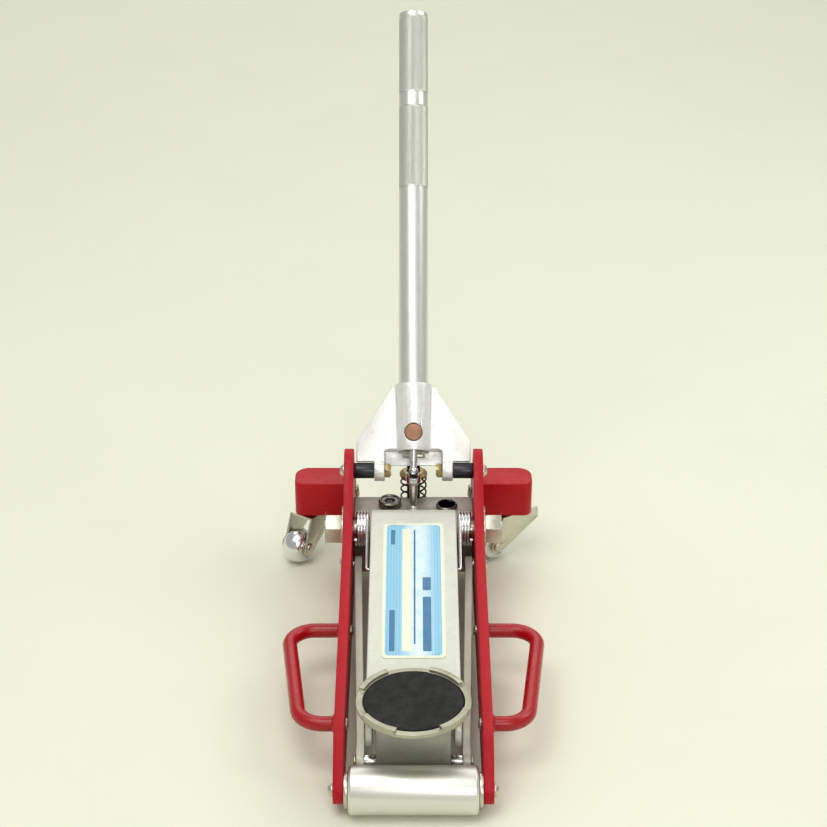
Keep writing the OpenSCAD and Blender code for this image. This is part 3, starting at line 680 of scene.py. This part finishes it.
@dataclass
class LiftingArm(SubAssembly):
    """The channel-shaped arm, its pins and its nameplate."""

    skins: list[Skin] = field(default_factory=lambda: [
        Skin("lift_arm", "arm", PAINT.arm, "arm_silver", 1.1 * MM),
        Skin("horn_pins", "arm", PAINT.zinc, "zinc", 0.4 * MM),
        Skin("arm_front_pin", "arm", PAINT.zinc, "zinc", 0.5 * MM),
    ])
    border: float = 3.2 * MM
    corner: float = 5.0 * MM
    sheet: float = 0.65 * MM
    layer: float = 0.06 * MM
    plate: float = 0.8 * MM

    def add_pieces(self) -> None:
        """The nameplate: a foil with a striped panel and plain bars, and no lettering."""
        low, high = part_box("nameplate")
        front = Vector((0.0, low.y, low.z))
        back = Vector((0.0, high.y, high.z))
        width = high.x - low.x
        run = back - front
        tilt = math.atan2(run.z - self.plate * math.cos(math.atan2(run.z, run.y)), run.y)
        length = self.true_length(run, tilt)
        middle = (front + back) / 2
        normal = Vector((0, -math.sin(tilt), math.cos(tilt)))
        place = Matrix.Translation(middle - normal * self.plate / 2) @ Matrix.Rotation(tilt, 4, "X")
        foil = self.rounded(
            "nameplate_foil", (0, 0), (width, length), self.corner, (0, self.sheet), PAINT.foil, place)
        settle(foil, "arm", "nameplate_foil", "nameplate")
        inner = (width - 2 * self.border, length - 2 * self.border)
        panel = self.rounded(
            "nameplate_panel", (0, 0), inner, self.corner - 1 * MM,
            (self.sheet - 0.1 * MM, self.sheet + self.layer), PAINT.stripes, place)
        settle(panel, "arm", "nameplate_foil")
        self.add_bars(inner, place)

    def true_length(self, run: Vector, tilt: float) -> float:
        """The plate's length along the slope, from the box round it."""
        return (run.y - self.plate * abs(math.sin(tilt))) / math.cos(tilt)

    def add_bars(self, inner: tuple[float, float], place: Matrix) -> None:
        """Plain bars where a maker would print: a pale band, a dark one and three short ones."""
        top = (self.sheet, self.sheet + 1.8 * self.layer)
        w, h = inner
        bars = [
            ("nameplate_pale_band", (-0.12 * w, 0.0), (0.17 * w, 0.94 * h), PAINT.foil),
            ("nameplate_dark_band", (0.02 * w, 0.02 * h), (0.030 * w, 0.88 * h), PAINT.ink),
            ("nameplate_bar_low", (0.24 * w, -0.27 * h), (0.15 * w, 0.40 * h), PAINT.ink),
            ("nameplate_bar_mid", (0.24 * w, 0.03 * h), (0.15 * w, 0.10 * h), PAINT.ink),
            ("nameplate_bar_side", (-0.38 * w, -0.32 * h), (0.10 * w, 0.30 * h), PAINT.ink),
            ("nameplate_bar_top", (-0.38 * w, 0.40 * h), (0.08 * w, 0.12 * h), PAINT.ink),
        ]
        for name, at, size, finish in bars:
            bar = self.rounded(name, at, size, 0.9 * MM, top, finish, place)
            settle(bar, "arm", "nameplate_foil")

    def rounded(self, name: str, at: tuple[float, float], size: tuple[float, float], corner: float,
                span: tuple[float, float], finish: Finish, place: Matrix) -> bpy.types.Object:
        """A flat plate with round corners between two heights.

        Args:
            name: the piece's name.
            at: the plate's centre in its frame.
            size: its width and length.
            corner: corner radius.
            span: its lowest and highest height.
            finish: its finish.
            place: its frame.

        Returns:
            The linked object.
        """
        steps = 7
        outline = []
        for quarter in range(4):
            sx, sy = ((1, 1), (-1, 1), (-1, -1), (1, -1))[quarter]
            for i in range(steps + 1):
                a = math.pi / 2 * (quarter + i / steps)
                outline.append((
                    at[0] + sx * (size[0] / 2 - corner) + corner * math.cos(a),
                    at[1] + sy * (size[1] / 2 - corner) + corner * math.sin(a),
                ))
        bevel = min(0.04 * MM, (span[1] - span[0]) / 3)
        rings = [(span[0], 0.0), (span[1] - bevel, 0.0), (span[1], bevel)]
        points = []
        for z, inset in rings:
            for x, y in outline:
                shrink_x = 1 - inset * 2 / size[0]
                shrink_y = 1 - inset * 2 / size[1]
                points.append((at[0] + (x - at[0]) * shrink_x, at[1] + (y - at[1]) * shrink_y, z))
        return new_piece(name, points, ring_faces(len(rings), len(outline)), finish, place)


@dataclass
class SaddleGroup(SubAssembly):
    """Saddle, its bracket and the link bars that keep it level."""

    skins: list[Skin] = field(default_factory=lambda: [
        Skin("saddle_bracket", "bracket", PAINT.bracket, "cast_body", 0.9 * MM),
        Skin("bracket_link_pin", "bracket", PAINT.zinc, "zinc", 0.5 * MM),
        Skin("link_pin_spacers", "bracket", PAINT.chrome, "zinc", 0.4 * MM),
        Skin("saddle_cup", "saddle", PAINT.saddle, "saddle_steel", 0.5 * MM, 25.0),
        Skin("saddle_retaining_ring", "saddle", PAINT.zinc, "zinc", 0.2 * MM),
        Skin("radius_link_left", "links", PAINT.link, "zinc", 0.5 * MM, 20.0),
        Skin("radius_link_right", "links", PAINT.link, "zinc", 0.5 * MM, 20.0),
    ])
    dish_depth: float = 0.5 * MM
    lip: float = 4.5 * MM

    def add_pieces(self) -> None:
        """The rubber pad with a raised lip and a dished middle."""
        low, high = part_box("saddle_pad")
        radius = (high.x - low.x) / 2
        height = high.z - low.z
        outline = [(0.05 * MM, 0.0), (radius - 0.8 * MM, 0.0), (radius, 0.8 * MM),
                   (radius, height - 1.2 * MM), (radius - 1.2 * MM, height)]
        inner = radius - self.lip
        samples = 40
        for i in range(samples + 1):
            r = inner * (1 - i / samples)
            dish = self.dish_depth * (1 - (r / inner) ** 2)
            outline.append((max(r, 0.05 * MM), height - dish))
        place = Matrix.Translation(((low.x + high.x) / 2, (low.y + high.y) / 2, low.z))
        pad = lathe("saddle_rubber_pad", outline, PAINT.rubber, place, 120, closed=False)
        settle(pad, "saddle", "rubber_pad", "saddle_pad")


@dataclass
class PowerUnit(SubAssembly):
    """Pump, ram and the block that joins them."""

    skins: list[Skin] = field(default_factory=lambda: [
        Skin("power_unit_block", "frame", PAINT.cast, "cast_body", 1.0 * MM),
        Skin("oil_reservoir", "frame", PAINT.cast, "cast_body", 0.5 * MM),
        Skin("ram_cylinder", "frame", PAINT.dark, "dark_steel", 0.5 * MM),
        Skin("filler_plug", "frame", PAINT.plug, "dark_steel", 0.35 * MM),
        Skin("relief_plug", "frame", PAINT.plug, "plug_steel", 0.35 * MM),
        Skin("pump_barrel", "frame", PAINT.dark, "dark_steel", 0.5 * MM),
        Skin("release_valve_gland", "frame", PAINT.handle, "bare_aluminium", 0.4 * MM),
        Skin("pump_piston", "pump", PAINT.dark, "dark_steel", 0.3 * MM),
        Skin("spring_retainer", "pump", PAINT.brass, "brass", 0.3 * MM),
        Skin("ram_rod", "ram", PAINT.chrome, "chrome_parts", 0.4 * MM),
        Skin("ram_crosshead", "ram", PAINT.cast, "cast_body", 0.6 * MM),
        Skin("ram_straps", "ram", PAINT.zinc, "zinc", 0.5 * MM),
        Skin("release_shaft", "valve", PAINT.chrome, "chrome_parts", 0.25 * MM),
    ])
    wire: float = 0.9 * MM
    coil_radius: float = 12.15 * MM
    turns: float = 4.75
    flat_share: float = 0.08
    steps: int = 190

    def add_pieces(self) -> None:
        """The pump's return spring, its foot on the barrel and its top at the piston, baked in place on no
        body.
        """
        low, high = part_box("pump_spring")
        middle = (low + high) / 2
        bottom = low.z + self.wire
        rise = high.z - low.z - 2 * self.wire
        path = []
        for i in range(self.steps + 1):
            share = i / self.steps
            climb = min(max((share - self.flat_share) / (1 - 2 * self.flat_share), 0.0), 1.0)
            angle = math.tau * self.turns * share
            path.append(Vector((
                middle.x + self.coil_radius * math.cos(angle),
                middle.y + self.coil_radius * math.sin(angle),
                bottom + rise * climb,
            )))
        spring = tube("pump_return_spring", path, self.wire, PAINT.dark, 14)
        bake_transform(spring)
        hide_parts("pump_spring")
        LOG.info("piece %s between frame and pump, %d faces", spring.name, len(spring.data.polygons))


@dataclass
class HandleGroup(SubAssembly):
    """Yoke, its pivots and the knurled handle."""

    skins: list[Skin] = field(default_factory=lambda: [
        Skin("handle_yoke", "yoke", PAINT.yoke, "arm_silver", 0.9 * MM),
        Skin("socket_plug", "yoke", PAINT.copper, "copper", 0.5 * MM),
        Skin("pump_cam_roller", "yoke", PAINT.zinc, "zinc", 0.4 * MM),
        Skin("yoke_pivot_bolts", "frame", PAINT.zinc, "zinc", 0.3 * MM),
        Skin("yoke_bushings", "frame", PAINT.bushing, "bushing_black", 0.5 * MM),
        Skin("yoke_pivot_nuts", "frame", PAINT.brass, "brass", 0.25 * MM, 20.0),
        Skin("handle_drive_plug", "handle", PAINT.chrome, "chrome_parts", 0.3 * MM),
    ])
    radius: float = 14.3 * MM
    bore: float = 11.8 * MM
    foot: float = 23.5 * MM
    tip: float = 457.0 * MM
    lower_grip: tuple[float, float] = (278.0 * MM, 360.0 * MM)
    upper_grip: tuple[float, float] = (374.0 * MM, 452.0 * MM)
    diamonds: int = 42
    groove: float = 0.38 * MM

    def add_pieces(self) -> None:
        """The tube in three smooth lengths and two knurled ones, as one skin each."""
        twist = joint("handle_twist")
        place = axis_frame(Vector(twist["pos_m"]), Vector(twist["axis"]))
        r, edge = self.radius, 0.5 * MM
        low0, low1 = self.lower_grip
        up0, up1 = self.upper_grip
        wall = [(self.bore, low0), (self.bore, self.foot), (r - edge, self.foot), (r, self.foot + edge),
                (r, low0 - edge), (r - edge, low0)]
        settle(lathe("handle_tube_lower", wall, PAINT.handle, place, 128),
               "handle", "bare_aluminium", "handle_tube")
        band = [(self.bore, up0), (self.bore, low1), (r - edge, low1), (r, low1 + edge),
                (r, up0 - edge), (r - edge, up0)]
        settle(lathe("handle_tube_band", band, PAINT.handle, place, 128), "handle", "bare_aluminium")
        tip = [(0.05 * MM, up1 + 1 * MM), (r - edge, up1), (r, up1 + edge), (r, self.tip - 1.4 * MM),
               (r - 0.4 * MM, self.tip - 0.5 * MM), (r - 1.6 * MM, self.tip), (5 * MM, self.tip),
               (4.4 * MM, self.tip - 0.6 * MM), (0.05 * MM, self.tip - 0.6 * MM)]
        settle(lathe("handle_tip", tip, PAINT.handle, place, 128, closed=False), "handle", "bare_aluminium")
        for label, (start, stop) in (("lower", self.lower_grip), ("upper", self.upper_grip)):
            settle(self.knurled(f"handle_grip_{label}", start, stop, place), "handle", "bare_aluminium")

    def knurled(self, name: str, start: float, stop: float, place: Matrix) -> bpy.types.Object:
        """A stretch of tube with crossed grooves cut into it.

        Args:
            name: the piece's name.
            start: where the grip begins along the handle.
            stop: where it ends.
            place: the handle's axis.

        Returns:
            The linked object.
        """
        sides = 4 * self.diamonds
        pitch = math.tau * self.radius / self.diamonds
        rows = round((stop - start) / (pitch / 4))
        points = []
        for j in range(rows + 1):
            z = start + (stop - start) * j / rows
            fade = min(1.0, j / 3, (rows - j) / 3)
            for i in range(sides):
                rise = min(self.off_groove(i + j), self.off_groove(i - j))
                r = self.radius - self.groove * (1 - rise) * fade - 0.04 * MM
                a = math.tau * i / sides
                points.append((r * math.cos(a), r * math.sin(a), z))
        return new_piece(name, points, ring_faces(rows + 1, sides), PAINT.knurl, place, smooth=False)

    @staticmethod
    def off_groove(step: int) -> float:
        """How far a step is from the nearest groove, 0 in it and 1 midway."""
        return (0.0, 0.5, 1.0, 0.5)[step % 4]


@dataclass
class CarryHandles(SubAssembly):
    """The red round-bar loops beside the frame."""

    bar: float = 6.5 * MM
    bend: float = 22.0 * MM
    steps: int = 18

    def add_pieces(self) -> None:
        """A smooth bar on each side, swept along the loop, with a foot ring at each end."""
        for side, label in ((-1, "left"), (1, "right")):
            low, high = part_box(f"carry_handle_{label}")
            near = min(abs(low.x), abs(high.x))
            far = max(abs(low.x), abs(high.x))
            path = self.loop(near, far, low.y + self.bar, high.y - self.bar, (low.z + high.z) / 2)
            path = [Vector((side * p.x, p.y, p.z)) for p in path]
            piece = tube(f"carry_bar_{label}", path, self.bar - 0.02 * MM, PAINT.red_bar, 32)
            settle(piece, "frame", "red_bar", f"carry_handle_{label}")
            for end, spot in (("front", path[0]), ("rear", path[-1])):
                place = axis_frame(spot, Vector((side, 0, 0)))
                ring = [(self.bar - 0.1 * MM, 0.0), (self.bar + 1.9 * MM, 0.0),
                        (self.bar + 1.9 * MM, 0.7 * MM),
                        (self.bar + 1.2 * MM, 1.5 * MM), (self.bar - 0.1 * MM, 2.6 * MM)]
                settle(lathe(f"carry_weld_{label}_{end}", ring, PAINT.red_bar, place, 48), "frame", "red_bar")

    def loop(self, near: float, far: float, front: float, rear: float, height: float) -> list[Vector]:
        """The bar's centreline on the +X side.

        Args:
            near: distance of the plate's face from the centre plane.
            far: outermost reach of the bar; not used.
            front: Y of the front arm.
            rear: Y of the rear arm.
            height: Z of the loop.

        Returns:
            Points from the front foot round to the rear foot.
        """
        corner_front = near + 30 * MM
        corner_rear = near + 47 * MM
        lean = math.atan2(corner_rear - corner_front, rear - front)
        turns = (math.pi / 2 - lean, math.pi / 2 + lean)
        first_x = corner_front - self.bend * math.tan(turns[0] / 2)
        last_x = corner_rear - self.bend * math.tan(turns[1] / 2)
        path = [Vector((near, front, height)), Vector(((near + first_x) / 2, front, height))]
        for i in range(self.steps + 1):
            a = turns[0] * i / self.steps
            path.append(Vector((
                first_x + self.bend * math.sin(a), front + self.bend * (1 - math.cos(a)), height)))
        for i in range(self.steps + 1):
            a = turns[1] * i / self.steps - lean
            path.append(Vector((
                last_x + self.bend * math.cos(a), rear - self.bend * (1 - math.sin(a)), height)))
        path += [Vector(((near + last_x) / 2, rear, height)), Vector((near, rear, height))]
        return path


@dataclass
class CasterGroup(SubAssembly):
    """The outrigger blocks with their swivelling wheels."""

    skins: list[Skin] = field(default_factory=lambda: [
        Skin("caster_block_left", "frame", PAINT.red_block, "red_anodised", 1.1 * MM),
        Skin("caster_block_right", "frame", PAINT.red_block, "red_anodised", 1.1 * MM),
        Skin("caster_block_screws", "frame", PAINT.zinc, "zinc", 0.3 * MM),
        Skin("caster_fork_left", "swivel_left", PAINT.zinc, "zinc", 0.5 * MM),
        Skin("caster_fork_right", "swivel_right", PAINT.zinc, "zinc", 0.5 * MM),
        Skin("caster_axle_left", "swivel_left", PAINT.zinc, "zinc", 0.4 * MM),
        Skin("caster_axle_right", "swivel_right", PAINT.zinc, "zinc", 0.4 * MM),
        Skin("caster_wheel_left", "wheel_left", PAINT.chrome, "chrome_parts", 0.35 * MM),
        Skin("caster_wheel_right", "wheel_right", PAINT.chrome, "chrome_parts", 0.35 * MM),
    ])


# ------------------------------------------------------------------ studio


@dataclass
class Studio:
    """Pale floor that reaches out on every side, soft lights and the camera."""

    eye: tuple[float, float, float] = (0.0, -1.6288, 1.0464)
    pitch: float = math.radians(62.7)
    focal_mm: float = 87.06
    reach: float = 9.0
    sides: int = 96

    def build(self) -> None:
        """Lays the floor and sets up the lights and camera."""
        self.add_floor()
        self.add_lights()
        self.add_camera()

    def add_floor(self) -> None:
        """One flat round floor, open all round so that the jack is seen from every side."""
        points = [(0.0, 0.0, 0.0)]
        for i in range(self.sides):
            a = math.tau * i / self.sides
            points.append((self.reach * math.cos(a), self.reach * math.sin(a), 0.0))
        faces = [(0, 1 + i, 1 + (i + 1) % self.sides) for i in range(self.sides)]
        new_piece("studio_floor", points, faces, PAINT.floor)

    def add_lights(self) -> None:
        """A large soft key above, a fill from the camera's side and a dim room."""
        lights = [
            ("key_softbox", (-0.5, -0.7, 2.3), (0.0, -0.05, 0.05), 1.5, 24.5, (1.0, 0.99, 0.96)),
            ("front_fill", (0.4, -2.2, 1.5), (0.0, 0.0, 0.1), 1.1, 12.0, (1.0, 0.99, 0.97)),
            ("far_floor_wash", (0.0, 2.6, 2.4), (0.0, 2.0, 0.0), 3.0, 34.0, (1.0, 1.0, 0.96)),
            ("rim_strip", (1.3, 0.3, 1.5), (0.0, 0.0, 0.1), 0.9, 8.0, (1.0, 1.0, 0.98)),
        ]
        for name, at, aim, size, watts, colour in lights:
            data = bpy.data.lights.new(name, "AREA")
            data.size = size
            data.energy = watts
            data.color = colour
            lamp = bpy.data.objects.new(name, data)
            lamp.location = at
            lamp.rotation_euler = (Vector(aim) - Vector(at)).to_track_quat("-Z", "Y").to_euler()
            lamp.visible_camera = False
            bpy.context.scene.collection.objects.link(lamp)
        world = bpy.data.worlds.new("studio_room")
        world.use_nodes = True
        back = world.node_tree.nodes["Background"]
        back.inputs[0].default_value = (1.0, 1.0, 0.97, 1.0)
        back.inputs[1].default_value = 0.43
        bpy.context.scene.world = world
        bpy.context.scene.view_settings.view_transform = "Standard"

    def add_camera(self) -> None:
        """The camera, above and in front of the roller."""
        data = bpy.data.cameras.new("front_camera")
        data.lens = self.focal_mm
        data.sensor_width = 36.0
        camera = bpy.data.objects.new("front_camera", data)
        camera.location = self.eye
        camera.rotation_euler = (self.pitch, 0.0, 0.0)
        bpy.context.scene.collection.objects.link(camera)
        bpy.context.scene.camera = camera


def check_all_dressed() -> None:
    """Stops if a CAD node is still shown bare."""
    bare = [n for n, o in frame["nodes"].items() if not o.hide_render]
    if bare:
        raise RuntimeError(f"bare CAD nodes: {bare}")


def main() -> None:
    """Builds the sub-assemblies in order, then the studio."""
    logging.basicConfig(level=logging.INFO, format="%(name)s: %(message)s")
    for group in (SideFrame(), FrontEnd(), LiftShaft(), LiftingArm(), SaddleGroup(), PowerUnit(),
                  HandleGroup(), CarryHandles(), CasterGroup()):
        group.build()
    check_all_dressed()
    Studio().build()


if __name__ == "__main__":
    main()
